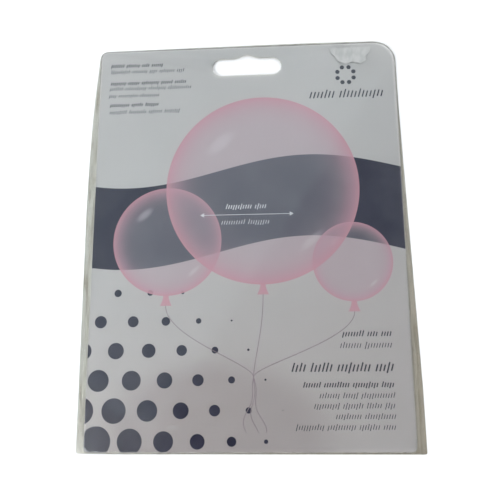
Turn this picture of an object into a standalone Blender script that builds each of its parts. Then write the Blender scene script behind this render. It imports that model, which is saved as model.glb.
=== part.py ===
"""Clear film packet with a stiff printed card in it, lying on its back.

The packet is a flat pouch of clear film whose two sheets are welded together round the edge.
A card fills it almost to the weld, and a hang hole is punched through film and card near the top.
X runs across the packet, Y up it and Z out of its face. The origin is under the packet's middle.
"""

import math

import bmesh
import bpy
from mathutils import Vector
from mathutils.geometry import delaunay_2d_cdt

# Card
CARD_WIDTH = 0.1593
CARD_HEIGHT = 0.2093
CARD_THICKNESS = 0.0005
CARD_TOP_LEFT_RADIUS = 0.0035
CARD_TOP_RIGHT_RADIUS = 0.0110
CARD_BOTTOM_RADIUS = 0.0025

# Film, and the room that it leaves round the card
FILM_THICKNESS = 0.00006
FACE_GAP = 0.0003
EDGE_GAP = 0.00015
CLIMB_RUN = 0.0002
LIP_RUN = 0.0001
LIP_RISE = 0.0001
WELD_WIDTH = 0.00015
FRONT_SWELL = 0.0006

# Loose film past the card: across at the two bottom corners, and up and down
LEFT_SLACK = 0.0031
RIGHT_SLACK = 0.0041
BOTTOM_SLACK = 0.0005
TOP_SLACK = 0.0001
POUCH_BOTTOM_RADIUS = 0.0011

# How far the handles of each side's curve stand out from the straight line between its corners
BOTTOM_BOW = 0.0010
RIGHT_BOW_LOW = 0.0015
RIGHT_BOW_HIGH = -0.0018
TOP_BOW = 0.0016
LEFT_BOW_HIGH = 0.0058
LEFT_BOW_LOW = 0.0004

# Hang hole: a round-ended slot with a shallow hump in the middle of its upper edge
SLOT_WIDTH = 0.0371
SLOT_HEIGHT = 0.0097
SLOT_DROP = 0.0115
SLOT_OFFSET = 0.0005
HUMP_RISE = 0.0018
HUMP_WIDTH = 0.0150
HOLE_GAP = 0.0002

# What is left of a label that was torn off the front film, from the card's top right corner
LABEL_INSET = 0.0122
LABEL_DROP = 0.0022
LABEL_WIDTH = 0.0220
LABEL_HEIGHT = 0.0102
LABEL_THICKNESS = 0.00008
LABEL_GAP = 0.00005
LABEL_TEAR = ((0.0, 0.0), (0.27, 0.05), (0.5, 0.0), (0.77, 0.03), (1.0, 0.02), (0.97, 0.34), (0.86, 0.58),
              (0.9, 0.8), (0.71, 0.99), (0.56, 0.84), (0.41, 1.0), (0.19, 0.82), (0.13, 0.6), (0.03, 0.36))

# Fineness of the mesh
SIDE_STEP = 0.010
FACE_STEP = 0.010
CORNER_STEPS = 6
SLOT_END_STEPS = 12
HUMP_STEPS = 12
MERGE_DISTANCE = 1e-6
FILL_TOLERANCE = 1e-9
SHARPEST_MITRE = 0.5
CORNER_ROOM = 1.5
SHARP_ANGLE = math.radians(30)

# Heights of the film's surfaces above the table
BACK_INSIDE = FILM_THICKNESS
WELD_TOP = 2 * FILM_THICKNESS
CARD_BOTTOM = BACK_INSIDE + FACE_GAP
CARD_TOP = CARD_BOTTOM + CARD_THICKNESS
FRONT_INSIDE = CARD_TOP + FACE_GAP
EDGE_ROOM = EDGE_GAP + CLIMB_RUN + LIP_RUN + WELD_WIDTH


def clear_scene():
    """Remove every object of the open scene."""
    for thing in list(bpy.data.objects):
        bpy.data.objects.remove(thing, do_unlink=True)


def make_material(name, colour, roughness, alpha=1.0, transmission=0.0):
    """Make a Principled material from plain values."""
    material = bpy.data.materials.new(name)
    material.use_nodes = True
    shader = material.node_tree.nodes["Principled BSDF"]
    shader.inputs["Base Color"].default_value = (*colour, 1.0)
    shader.inputs["Roughness"].default_value = roughness
    shader.inputs["Metallic"].default_value = 0.0
    shader.inputs["Alpha"].default_value = alpha
    shader.inputs["Transmission Weight"].default_value = transmission
    return material


def round_corner(corner, before, after, radius):
    """Return the arc that rounds a corner whose sides leave it in the directions before and after."""
    half = before.angle(after) / 2
    reach = radius / math.tan(half)
    centre = corner + (before + after).normalized() * radius / math.sin(half)
    start = corner + before * reach - centre
    turn = math.pi - 2 * half
    arc = []
    for step in range(CORNER_STEPS + 1):
        angle = turn * step / CORNER_STEPS
        spoke = Vector((start.x * math.cos(angle) - start.y * math.sin(angle),
                        start.x * math.sin(angle) + start.y * math.cos(angle)))
        arc.append(centre + spoke)
    return arc


def rounded_loop(corners, radii, bows):
    """Return an anticlockwise loop with rounded corners and gently bowed sides.

    Side number n runs from corner n to corner n + 1, and bows[n] tells how far its curve's two
    handles stand out from the straight line.
    """
    count = len(corners)
    sides = []
    for number in range(count):
        start = corners[number]
        end = corners[(number + 1) % count]
        along = end - start
        outwards = Vector((along.y, -along.x)).normalized()
        first = start + along / 3 + outwards * bows[number][0]
        second = start + along * 2 / 3 + outwards * bows[number][1]
        sides.append((start, first, second, end))
    loop = []
    for number, side in enumerate(sides):
        start, first, second, end = side
        previous = sides[number - 1]
        before = (previous[2] - start).normalized()
        after = (first - start).normalized()
        loop += round_corner(start, before, after, radii[number])
        if not any(bows[number]):
            continue
        length = (end - start).length
        steps = round(length / SIDE_STEP)
        room_before = radii[number] * CORNER_ROOM
        room_after = radii[(number + 1) % count] * CORNER_ROOM
        for step in range(1, steps):
            share = step / steps
            if share * length < room_before or (1 - share) * length < room_after:
                continue
            rest = 1 - share
            loop.append(start * rest ** 3 + first * 3 * rest ** 2 * share
                        + second * 3 * rest * share ** 2 + end * share ** 3)
    return loop


def offset_loop(loop, distance):
    """Move an anticlockwise loop outwards by a distance."""
    moved = []
    for number, point in enumerate(loop):
        back = (point - loop[number - 1]).normalized()
        ahead = (loop[(number + 1) % len(loop)] - point).normalized()
        along = (back + ahead).normalized()
        outwards = Vector((along.y, -along.x))
        moved.append(point + outwards * distance / max(SHARPEST_MITRE, along.dot(back)))
    return moved


def card_loop(margin=0.0):
    """Return the card's outline, moved outwards by a margin."""
    across = CARD_WIDTH / 2 + margin
    up = CARD_HEIGHT / 2 + margin
    corners = [Vector((-across, -up)), Vector((across, -up)), Vector((across, up)), Vector((-across, up))]
    radii = [CARD_BOTTOM_RADIUS, CARD_BOTTOM_RADIUS, CARD_TOP_RIGHT_RADIUS, CARD_TOP_LEFT_RADIUS]
    return rounded_loop(corners, [radius + margin for radius in radii], [(0.0, 0.0)] * 4)


def pouch_loop():
    """Return the pouch's outline, which is the card's with its edge room and slack film added."""
    across = CARD_WIDTH / 2 + EDGE_ROOM
    up = CARD_HEIGHT / 2 + EDGE_ROOM
    corners = [
        Vector((-across - LEFT_SLACK, -up)),
        Vector((across + RIGHT_SLACK, -up - BOTTOM_SLACK)),
        Vector((across, up + TOP_SLACK)),
        Vector((-across, up + TOP_SLACK)),
    ]
    radii = [POUCH_BOTTOM_RADIUS, POUCH_BOTTOM_RADIUS,
             CARD_TOP_RIGHT_RADIUS + EDGE_ROOM, CARD_TOP_LEFT_RADIUS + EDGE_ROOM]
    bows = [(BOTTOM_BOW, 0.0), (RIGHT_BOW_LOW, RIGHT_BOW_HIGH), (TOP_BOW, 0.0), (LEFT_BOW_HIGH, LEFT_BOW_LOW)]
    return rounded_loop(corners, radii, bows)


def hole_loop(margin=0.0):
    """Return the hang hole's outline, made wider by a margin."""
    middle = Vector((SLOT_OFFSET, CARD_HEIGHT / 2 - SLOT_DROP))
    end_radius = SLOT_HEIGHT / 2
    reach = SLOT_WIDTH / 2 - end_radius
    hump = min(HUMP_WIDTH / 2, reach)
    loop = []
    for step in range(SLOT_END_STEPS + 1):
        angle = -math.pi / 2 + math.pi * step / SLOT_END_STEPS
        loop.append(middle + Vector((reach + end_radius * math.cos(angle), end_radius * math.sin(angle))))
    for step in range(HUMP_STEPS + 1):
        across = hump * (1 - 2 * step / HUMP_STEPS)
        rise = HUMP_RISE * (1 + math.cos(math.pi * across / hump)) / 2
        loop.append(middle + Vector((across, end_radius + rise)))
    for step in range(SLOT_END_STEPS + 1):
        angle = math.pi / 2 + math.pi * step / SLOT_END_STEPS
        loop.append(middle + Vector((-reach + end_radius * math.cos(angle), end_radius * math.sin(angle))))
    clean = [point for number, point in enumerate(loop) if (point - loop[number - 1]).length > MERGE_DISTANCE]
    return offset_loop(clean, margin)


def inside(point, loop):
    """Tell whether a point lies inside a loop."""
    crossed = False
    for number, end in enumerate(loop):
        start = loop[number - 1]
        if (start.y > point.y) != (end.y > point.y):
            share = (point.y - start.y) / (end.y - start.y)
            if point.x < start.x + share * (end.x - start.x):
                crossed = not crossed
    return crossed


def front_height(point):
    """Return how high the front film's inner surface stands at a point over the card."""
    across = point.x / (CARD_WIDTH + 2 * EDGE_GAP)
    up = point.y / (CARD_HEIGHT + 2 * EDGE_GAP)
    swell = max(0.0, math.cos(math.pi * across)) * max(0.0, math.cos(math.pi * up))
    return FRONT_INSIDE + FRONT_SWELL * swell


def face_spots(rim, hole):
    """Return a grid of points on the card's face, clear of its rim and of the hang hole."""
    near_rim = offset_loop(rim, -FACE_STEP / 3)
    near_hole = offset_loop(hole, FACE_STEP / 3)
    columns = round(CARD_WIDTH / FACE_STEP)
    rows = round(CARD_HEIGHT / FACE_STEP)
    spots = []
    for column in range(1, columns):
        for row in range(1, rows):
            spot = Vector((CARD_WIDTH * (column / columns - 0.5), CARD_HEIGHT * (row / rows - 0.5)))
            if inside(spot, near_rim) and not inside(spot, near_hole):
                spots.append(spot)
    return spots


def add_sheet(mesh, outer, inner, outer_height, inner_height, spots=()):
    """Fill the area between two loops with triangles.

    Each loop has its own height, a number or a function of the point. Spots between the loops
    take the inner loop's.
    """
    points = list(outer) + list(inner) + list(spots)
    levels = [outer_height] * len(outer) + [inner_height] * (len(inner) + len(spots))
    edges = [(number, (number + 1) % len(outer)) for number in range(len(outer))]
    edges += [(len(outer) + number, len(outer) + (number + 1) % len(inner)) for number in range(len(inner))]
    flat, _, faces, origins, _, _ = delaunay_2d_cdt(points, edges, [], 1, FILL_TOLERANCE)
    corners = []
    for spot, origin in zip(flat, origins):
        level = levels[origin[0]]
        corners.append(mesh.verts.new((spot.x, spot.y, level(spot) if callable(level) else level)))
    for face in faces:
        centre = sum((flat[number] for number in face), Vector((0.0, 0.0))) / len(face)
        if inside(centre, outer) and not inside(centre, inner):
            mesh.faces.new([corners[number] for number in face])


def add_wall(mesh, loop, bottom, top):
    """Stand a wall on a loop. Its bottom and top are each a number or a function of the point."""
    low = [mesh.verts.new((p.x, p.y, bottom(p) if callable(bottom) else bottom)) for p in loop]
    high = [mesh.verts.new((p.x, p.y, top(p) if callable(top) else top)) for p in loop]
    for number in range(len(loop)):
        mesh.faces.new((low[number - 1], low[number], high[number], high[number - 1]))


def finish_object(name, mesh, material, place):
    """Close a mesh, turn its faces outwards and put it into the scene as an object."""
    bmesh.ops.remove_doubles(mesh, verts=mesh.verts, dist=MERGE_DISTANCE)
    bmesh.ops.triangulate(mesh, faces=mesh.faces)
    bmesh.ops.recalc_face_normals(mesh, faces=mesh.faces)
    data = bpy.data.meshes.new(name)
    mesh.to_mesh(data)
    mesh.free()
    data.shade_smooth()
    data.set_sharp_from_angle(angle=SHARP_ANGLE)
    data.materials.append(material)
    thing = bpy.data.objects.new(name, data)
    thing.location = place
    bpy.context.scene.collection.objects.link(thing)
    return thing


def build_pouch(place):
    """Build the film pouch: two sheets, welded round the edge and open at the hang hole's rims."""
    edge = pouch_loop()
    weld = offset_loop(edge, -WELD_WIDTH)
    lip = offset_loop(weld, -LIP_RUN)
    shoulder = card_loop(EDGE_GAP)
    hole = hole_loop()
    spots = face_spots(shoulder, hole)

    def front_outside(point):
        return front_height(point) + FILM_THICKNESS

    mesh = bmesh.new()
    add_sheet(mesh, edge, weld, WELD_TOP, WELD_TOP)
    add_sheet(mesh, weld, lip, WELD_TOP, WELD_TOP + LIP_RISE)
    add_sheet(mesh, lip, shoulder, WELD_TOP + LIP_RISE, FRONT_INSIDE + FILM_THICKNESS)
    add_sheet(mesh, shoulder, hole, FRONT_INSIDE + FILM_THICKNESS, front_outside, spots)
    add_sheet(mesh, weld, lip, BACK_INSIDE, BACK_INSIDE + LIP_RISE)
    add_sheet(mesh, lip, shoulder, BACK_INSIDE + LIP_RISE, FRONT_INSIDE)
    add_sheet(mesh, shoulder, hole, FRONT_INSIDE, front_height, spots)
    add_sheet(mesh, weld, hole, BACK_INSIDE, BACK_INSIDE)
    add_sheet(mesh, edge, hole, 0.0, 0.0)
    add_wall(mesh, edge, 0.0, WELD_TOP)
    add_wall(mesh, hole, 0.0, BACK_INSIDE)
    add_wall(mesh, hole, front_height, front_outside)
    clear_film = make_material("clear_film", (0.93, 0.95, 0.94), 0.08, alpha=0.25, transmission=1.0)
    return finish_object("film_pouch", mesh, clear_film, place)


def build_card(place):
    """Build the card, a flat board with the hang hole punched in it."""
    edge = card_loop()
    hole = hole_loop(HOLE_GAP)
    mesh = bmesh.new()
    add_sheet(mesh, edge, hole, CARD_TOP, CARD_TOP)
    add_sheet(mesh, edge, hole, CARD_BOTTOM, CARD_BOTTOM)
    add_wall(mesh, edge, CARD_BOTTOM, CARD_TOP)
    add_wall(mesh, hole, CARD_BOTTOM, CARD_TOP)
    board = make_material("printed_board", (0.72, 0.73, 0.75), 0.45)
    return finish_object("printed_card", mesh, board, place)


def build_label(place):
    """Build what is left of the torn label, a thin ragged patch of paper on the front film."""
    left = CARD_WIDTH / 2 - LABEL_INSET - LABEL_WIDTH
    top = CARD_HEIGHT / 2 - LABEL_DROP
    loop = [Vector((left + LABEL_WIDTH * across, top - LABEL_HEIGHT * down)) for across, down in LABEL_TEAR]

    def underside(point):
        return front_height(point) + FILM_THICKNESS + LABEL_GAP

    mesh = bmesh.new()
    bottom = [mesh.verts.new((point.x, point.y, underside(point))) for point in loop]
    paper = mesh.faces.new(bottom)
    grown = bmesh.ops.extrude_face_region(mesh, geom=[paper])
    raised = [item for item in grown["geom"] if isinstance(item, bmesh.types.BMVert)]
    bmesh.ops.translate(mesh, verts=raised, vec=(0.0, 0.0, LABEL_THICKNESS))
    label_paper = make_material("label_paper", (0.74, 0.74, 0.74), 0.8)
    return finish_object("torn_label", mesh, label_paper, place)


def main():
    """Build the packet with the middle of its outline over the origin."""
    clear_scene()
    outline = pouch_loop()
    middle_x = (min(p.x for p in outline) + max(p.x for p in outline)) / 2
    middle_y = (min(p.y for p in outline) + max(p.y for p in outline)) / 2
    place = (-middle_x, -middle_y, 0.0)
    build_pouch(place)
    build_card(place)
    build_label(place)


main()
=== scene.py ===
"""Looks of a flat clear packet with a stiff printed card in it, lying on a pale table.

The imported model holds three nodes: the film pouch, the printed card and a torn label. Each is dressed by
finer pieces that lie where their node lies. X runs across the packet, Y up it and Z out of its face, in
metres, with the origin under the packet's middle.
"""

import logging
import math
import random
from collections.abc import Callable, Iterator
from contextlib import contextmanager
from dataclasses import dataclass, field
from enum import Enum
from functools import cached_property

import bmesh
import bpy
import numpy as np
from mathutils import Euler, Matrix, Vector, noise


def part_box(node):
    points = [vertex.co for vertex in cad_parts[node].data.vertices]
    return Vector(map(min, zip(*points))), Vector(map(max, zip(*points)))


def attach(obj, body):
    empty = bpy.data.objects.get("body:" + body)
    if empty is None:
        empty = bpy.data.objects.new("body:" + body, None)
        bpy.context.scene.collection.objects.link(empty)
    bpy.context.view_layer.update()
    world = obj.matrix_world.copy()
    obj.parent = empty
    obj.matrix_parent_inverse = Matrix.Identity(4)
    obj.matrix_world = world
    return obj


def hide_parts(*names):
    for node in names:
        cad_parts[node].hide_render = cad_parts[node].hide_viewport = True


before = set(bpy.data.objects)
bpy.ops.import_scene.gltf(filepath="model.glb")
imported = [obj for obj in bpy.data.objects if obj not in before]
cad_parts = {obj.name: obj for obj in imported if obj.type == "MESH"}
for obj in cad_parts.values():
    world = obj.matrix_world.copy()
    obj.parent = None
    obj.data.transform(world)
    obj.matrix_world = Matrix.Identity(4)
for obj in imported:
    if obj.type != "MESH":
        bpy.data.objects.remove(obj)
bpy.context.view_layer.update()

LOG = logging.getLogger("packet")

MM = 0.001
PHOTO_SIDE = 500
MERGE_DISTANCE = 1e-6
LEVEL_ROOM = 0.1 * MM
FACING = 0.9
LEVEL_FACE = 0.99
FLAT_ANGLE = 0.01
CUTTER_REACH = 5.0 * MM
SLAB_DEPTH = 1.0 * MM
SLAB_MARGIN = 0.3 * MM
INK_COVER = 0.014 * MM
PAST_CARD = "past_card"

Pair = tuple[float, float]
Triple = tuple[float, float, float]
Colour = tuple[float, float, float, float]
Piece = bpy.types.Object
Material = bpy.types.Material
Socket = bpy.types.NodeSocket


def tone(red: int, green: int, blue: int) -> Colour:
    """Turn a colour as a screen shows it, 0 to 255, into the linear one that a shader takes."""
    shares = [value / 255 for value in (red, green, blue)]
    return (*(((s + 0.055) / 1.055) ** 2.4 if s > 0.04 else s / 12.92 for s in shares), 1.0)


def make_active(piece: Piece) -> None:
    """Select one object alone, since an operator acts on all that is selected.

    Args:
        piece: The object that the next operator is for.
    """
    bpy.ops.object.select_all(action="DESELECT")
    piece.select_set(True)
    bpy.context.view_layer.objects.active = piece


def link(piece: Piece) -> Piece:
    """Add a new object to the scene."""
    bpy.context.scene.collection.objects.link(piece)
    return piece


@contextmanager
def editing(piece: Piece) -> Iterator[bmesh.types.BMesh]:
    """Open one object in edit mode with all of it selected, and close it again.

    Args:
        piece: The mesh object to open.

    Returns:
        The live mesh, inside a with statement.
    """
    make_active(piece)
    bpy.ops.object.mode_set(mode="EDIT")
    bpy.ops.mesh.select_mode(type="FACE")
    bpy.ops.mesh.select_all(action="SELECT")
    yield bmesh.from_edit_mesh(piece.data)
    bpy.ops.object.mode_set(mode="OBJECT")


def pick_faces(piece: Piece, wanted: Callable[[bmesh.types.BMFace], bool]) -> None:
    """Select the faces of the object in edit mode that pass a test, and no others.

    Args:
        piece: The object in edit mode.
        wanted: Tells of one face whether it is picked.
    """
    live = bmesh.from_edit_mesh(piece.data)
    picked = [face for face in live.faces if wanted(face)]
    bpy.ops.mesh.select_all(action="DESELECT")
    for face in picked:
        face.select_set(True)
    bmesh.update_edit_mesh(piece.data)


def apply_modifier(piece: Piece, kind: str, **settings: object) -> None:
    """Add one modifier with its settings and apply it.

    Args:
        piece: The object to change.
        kind: The modifier's type, in Blender's capitals.
        settings: The modifier's own settings by name.
    """
    make_active(piece)
    modifier = piece.modifiers.new(kind.title(), kind)
    for name, value in settings.items():
        setattr(modifier, name, value)
    bpy.ops.object.modifier_apply(modifier=modifier.name)


def carve(piece: Piece, operation: str, tool: Piece) -> None:
    """Cut a piece with another object, which is removed."""
    apply_modifier(piece, "BOOLEAN", operation=operation, object=tool, solver="EXACT")
    bpy.data.objects.remove(tool)


def raise_block(height: float) -> None:
    """Extrude the flat mesh in edit mode upwards into a closed block.

    Args:
        height: The block's height.
    """
    bpy.ops.mesh.extrude_region_move(TRANSFORM_OT_translate={"value": (0, 0, height)})
    bpy.ops.mesh.select_all(action="SELECT")
    bpy.ops.mesh.normals_make_consistent(inside=False)


def twin_of(piece: Piece, name: str) -> Piece:
    """Make a full copy of an object.

    Args:
        piece: The object to copy.
        name: The copy's name.

    Returns:
        The copy, with a mesh of its own.
    """
    twin = piece.copy()
    twin.data = piece.data.copy()
    twin.name = twin.data.name = name
    return link(twin)


def join(pieces: list[Piece], name: str) -> Piece:
    """Join objects into the first of them, which takes the new name.

    Args:
        pieces: The objects to join.
        name: The name of the joined object.

    Returns:
        The joined object.
    """
    make_active(pieces[0])
    for piece in pieces:
        piece.select_set(True)
    bpy.ops.object.join()
    pieces[0].name = pieces[0].data.name = name
    return pieces[0]


def settle(piece: Piece) -> Piece:
    """Move an object's place, turn and scale into its mesh, so that it sits at the origin.

    Args:
        piece: The object to settle.

    Returns:
        The same object.
    """
    make_active(piece)
    bpy.ops.object.transform_apply(location=True, rotation=True, scale=True)
    return piece


def smooth(piece: Piece, degrees: float) -> None:
    """Shade an object smooth, with edges sharper than an angle left sharp."""
    make_active(piece)
    bpy.ops.object.shade_smooth_by_angle(angle=math.radians(degrees))


def dress(piece: Piece, slot: str, nodes: tuple[str, ...], *looks: Material) -> Piece:
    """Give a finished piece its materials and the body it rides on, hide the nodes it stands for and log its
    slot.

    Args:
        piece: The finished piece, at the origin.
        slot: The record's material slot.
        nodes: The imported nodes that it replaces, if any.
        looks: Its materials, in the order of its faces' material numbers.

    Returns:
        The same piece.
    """
    piece.data.materials.clear()
    for look in looks:
        piece.data.materials.append(look)
    if nodes:
        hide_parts(*nodes)
    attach(piece, "root")
    LOG.info("%s: %d faces, slot %s", piece.name, len(piece.data.polygons), slot)
    return piece


def node_copy(node: str, name: str) -> Piece:
    """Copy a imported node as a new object, with its loose triangles merged into one surface.

    Args:
        node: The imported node.
        name: The new object's name.

    Returns:
        The copy, which leaves the node as it is.
    """
    piece = link(bpy.data.objects.new(name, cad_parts[node].data.copy()))
    make_active(piece)
    bpy.ops.mesh.customdata_custom_splitnormals_clear()
    with editing(piece):
        bpy.ops.mesh.remove_doubles(threshold=MERGE_DISTANCE)
    return piece


def flat_face_of(node: str, name: str, upwards: bool) -> Piece:
    """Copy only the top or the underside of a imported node, laid flat at Z 0 with its holes.

    Args:
        node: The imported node.
        name: The new object's name.
        upwards: Whether the top is wanted, rather than the underside.

    Returns:
        The flat copy.
    """
    piece = node_copy(node, name)
    sign = 1 if upwards else -1
    level = max(sign * vertex.co.z for vertex in piece.data.vertices)
    with editing(piece):
        pick_faces(piece, lambda face: sign * face.normal.z < FACING
                   or sign * face.calc_center_median().z < level - LEVEL_ROOM)
        bpy.ops.mesh.delete(type="FACE")
        bpy.ops.mesh.select_all(action="SELECT")
        bpy.ops.transform.resize(value=(1, 1, 0), center_override=(0, 0, 0))
    return piece


def card_face() -> float:
    """Give the height of the card's printed face."""
    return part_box("printed_card")[1].z


def rims(piece: Piece) -> list[np.ndarray]:
    """Read the open edges of a flat mesh as loops of plane segments, the longest loop first.

    Args:
        piece: A mesh object with open edges.

    Returns:
        One array of shape (segments, 2 ends, 2 coordinates) for each loop.
    """
    live = bmesh.new()
    live.from_mesh(piece.data)
    left = dict.fromkeys(edge for edge in live.edges if edge.is_boundary)
    loops = []
    while left:
        edge = left.popitem()[0]
        run, tip = [edge], edge.verts[1]
        while following := next((e for e in tip.link_edges if e in left), None):
            left.pop(following)
            run.append(following)
            tip = following.other_vert(tip)
        loops.append(np.array([[vert.co[:2] for vert in edge.verts] for edge in run]))
    live.free()
    return sorted(loops, key=lambda loop: -np.linalg.norm(loop[:, 1] - loop[:, 0], axis=1).sum())


def distance_to(loop: np.ndarray, points: np.ndarray) -> np.ndarray:
    """Measure how far each point of the plane is from the nearest segment of a loop.

    Args:
        loop: Segments of the plane, from rims.
        points: An array of shape (points, 2).

    Returns:
        One distance for each point.
    """
    start, run = loop[:, 0], loop[:, 1] - loop[:, 0]
    shift = points[:, None] - start
    share = np.clip((shift * run).sum(2) / (run * run).sum(1), 0.0, 1.0)
    return np.sqrt(((shift - share[..., None] * run) ** 2).sum(2)).min(1)


def is_inside(loop: np.ndarray, points: np.ndarray) -> np.ndarray:
    """Tell for each point of the plane whether a closed loop goes round it.

    Args:
        loop: Segments of the plane, from rims.
        points: An array of shape (points, 2).

    Returns:
        One truth value for each point.
    """
    (x0, y0), (x1, y1) = loop[:, 0].T, loop[:, 1].T
    x, y = points[:, :1], points[:, 1:]
    spans = (y0 > y) != (y1 > y)
    rise = np.where(y1 == y0, 1.0, y1 - y0)
    return ((spans & (x < (x1 - x0) * (y - y0) / rise + x0)).sum(1) % 2).astype(bool)


def ripple(points: np.ndarray, size: float, seed: float) -> np.ndarray:
    """Smooth noise of about -1 to 1 over points of the plane, with humps of one size."""
    return np.array([noise.noise(Vector((x / size, y / size, seed))) for x, y in points])


@dataclass(frozen=True)
class Cloud:
    """Noise over a surface: about how large its blotches are, in metres, and how many finer layers they have.

    It changes faster along an axis with a larger stretch, and the levels are those that it is eased between.
    """

    size: float
    detail: float = 2.0
    stretch: Triple = (1.0, 1.0, 1.0)
    levels: Pair = (0.0, 1.0)


class Graph:
    """A node tree under construction, and short ways to add nodes to it."""

    def __init__(self, holder: Material | bpy.types.World) -> None:
        """Open the node tree of a material or a world."""
        holder.use_nodes = True
        self.tree = holder.node_tree

    @cached_property
    def place(self) -> Socket:
        """The place on the packet, in metres."""
        return self.node("TexCoord").outputs["Object"]

    @cached_property
    def x(self) -> Socket:
        """The place across the packet."""
        return self.node("SeparateXYZ", self.place).outputs["X"]

    @cached_property
    def y(self) -> Socket:
        """The place up the packet."""
        return self.node("SeparateXYZ", self.place).outputs["Y"]

    @cached_property
    def flat(self) -> Socket:
        """The place in the packet's plane."""
        return self.vector(self.x, self.y)

    def feed(self, socket: Socket, value: object) -> None:
        """Link a socket to an output, or set its plain value.

        Args:
            socket: The input to feed.
            value: An output, or what a plain value of that input can be.
        """
        if isinstance(value, Socket):
            self.tree.links.new(value, socket)
        else:
            socket.default_value = value

    def node(self, kind: str, *values: object, **settings: object) -> bpy.types.Node:
        """Add a node, with its settings and the values or links of its first inputs.

        Args:
            kind: The node's type, without the words that all shader nodes start with.
            values: What its inputs take, in their order, with None for those left alone.
            settings: The node's own settings by name.

        Returns:
            The new node.
        """
        node = self.tree.nodes.new(f"ShaderNode{kind}")
        for name, value in settings.items():
            setattr(node, name, value)
        for socket, value in zip(node.inputs, values, strict=False):
            if value is not None:
                self.feed(socket, value)
        return node

    def maths(self, operation: str, *values: object) -> Socket:
        """Work one sum on numbers or outputs."""
        return self.node("Math", *values, operation=operation).outputs[0]

    def times(self, first: object, second: object) -> Socket:
        """Multiply two numbers or outputs."""
        return self.maths("MULTIPLY", first, second)

    def minus(self, first: object, second: object) -> Socket:
        """Take the second number or output from the first."""
        return self.maths("SUBTRACT", first, second)

    def scale(self, value: Socket, factor: object, start: object) -> Socket:
        """Multiply a value by a factor and add a start to it."""
        return self.maths("MULTIPLY_ADD", value, factor, start)

    def vector(self, x: Socket, y: Socket) -> Socket:
        """Make a vector of the plane."""
        return self.node("CombineXYZ", x, y, 0.0).outputs[0]

    def length(self, way: Socket) -> Socket:
        """Measure how long a vector is."""
        return self.node("VectorMath", way, operation="LENGTH").outputs["Value"]

    def oval(self, middle: Pair, size: Pair, turn: float = 0.0) -> Socket:
        """Measure how far out in an oval a place is, from 0 at its middle to 1 on its rim.

        Args:
            middle: The oval's middle, in metres.
            size: Its half sizes along X and Y.
            turn: How far it is turned, in degrees.

        Returns:
            The share, which goes on past 1 outside the oval.
        """
        spot = self.node("Mapping", self.flat, (*middle, 0.0), (0.0, 0.0, math.radians(turn)), (*size, 1.0),
                         vector_type="TEXTURE")
        return self.length(spot.outputs[0])

    def ease(self, value: Socket, start: float, end: float) -> Socket:
        """Rise smoothly from 0 at one value to 1 at another, which may be the lower of the two."""
        node = self.node("MapRange", value, start, end, interpolation_type="SMOOTHSTEP")
        return node.outputs["Result"]

    def blend(self, share: object, low: object, high: object, way: str = "MIX") -> Socket:
        """Mix two colours, or lay the second over the first in another way.

        Args:
            share: How much of the second colour there is.
            low: The first colour.
            high: The second colour.
            way: Blender's name of the way to mix.

        Returns:
            The mixed colour.
        """
        node = self.node("Mix", data_type="RGBA", blend_type=way)
        for name, value in zip(("Factor", "A", "B"), (share, low, high), strict=True):
            self.feed(next(s for s in node.inputs if s.name == name and s.enabled), value)
        return next(s for s in node.outputs if s.enabled)

    def cloud(self, cloud: Cloud) -> Socket:
        """Make noise of 0 to 1."""
        scaled = self.node("Mapping", self.place, None, None, cloud.stretch).outputs[0]
        return self.node("TexNoise", scaled, None, 1 / cloud.size, cloud.detail).outputs["Fac"]

    def patches(self, cloud: Cloud) -> Socket:
        """Make noise that is eased from 0 to 1 between its two levels."""
        return self.ease(self.cloud(cloud), *cloud.levels)

    def relief(self, height: Socket, depth: float, under: Socket | None = None) -> Socket:
        """Turn a height into a bumped normal.

        Args:
            height: The height, from 0 to 1.
            depth: What a height of 1 is, in metres.
            under: A bumped normal that this one is added to, if any.

        Returns:
            The normal.
        """
        node = self.node("Bump")
        node.inputs["Distance"].default_value = depth
        self.feed(node.inputs["Height"], height)
        if under is not None:
            self.feed(node.inputs["Normal"], under)
        return node.outputs[0]

    def ramp(self, value: Socket, stops: tuple[tuple[float, Colour], ...]) -> Socket:
        """Turn a value into colours that ease from stop to stop.

        Args:
            value: The value, from 0 to 1.
            stops: The places of the colours from 0 to 1, in rising order.

        Returns:
            The colour.
        """
        node = self.node("ValToRGB", value)
        node.color_ramp.interpolation = "EASE"
        while len(node.color_ramp.elements) < len(stops):
            node.color_ramp.elements.new(0.5)
        for element, (position, colour) in zip(node.color_ramp.elements, stops, strict=True):
            element.position, element.color = position, colour
        return node.outputs[0]


class Look(Graph):
    """A material under construction, with one Principled shader."""

    def __init__(self, name: str) -> None:
        """Start the material."""
        self.material = bpy.data.materials.new(name)
        super().__init__(self.material)

    def put(self, **values: object) -> None:
        """Set or link the shader's sockets.

        Args:
            values: What each socket takes, by its name with underscores for spaces.
        """
        for name, value in values.items():
            name = name.replace("_", " ").title().replace("Ior", "IOR")
            self.feed(self.tree.nodes["Principled BSDF"].inputs[name], value)


@dataclass(frozen=True)
class BalloonPicture:
    """A round see-through balloon as it is printed on the card, in metres."""

    x: float
    y: float
    radius: float
    knot_height: float = 5.0 * MM
    knot_neck: float = 1.3 * MM
    knot_lip: float = 3.0 * MM
    knot_flare: float = 1.7
    knot_cover: float = 0.8
    haze: Triple = (5.0, 0.3, 0.25)
    rim: Pair = (8.0, 0.85)

    @property
    def knot_end(self) -> Vector:
        """The point under the knot where the string starts."""
        return Vector((self.x, self.y - self.radius - self.knot_height))


@dataclass(frozen=True)
class Glint:
    """A soft oval of light on a balloon, with its middle and half sizes as shares of the balloon's radius."""

    middle: Pair
    turn: float
    size: Pair
    cover: float
    fade: Pair = (1.0, 0.2)


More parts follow.
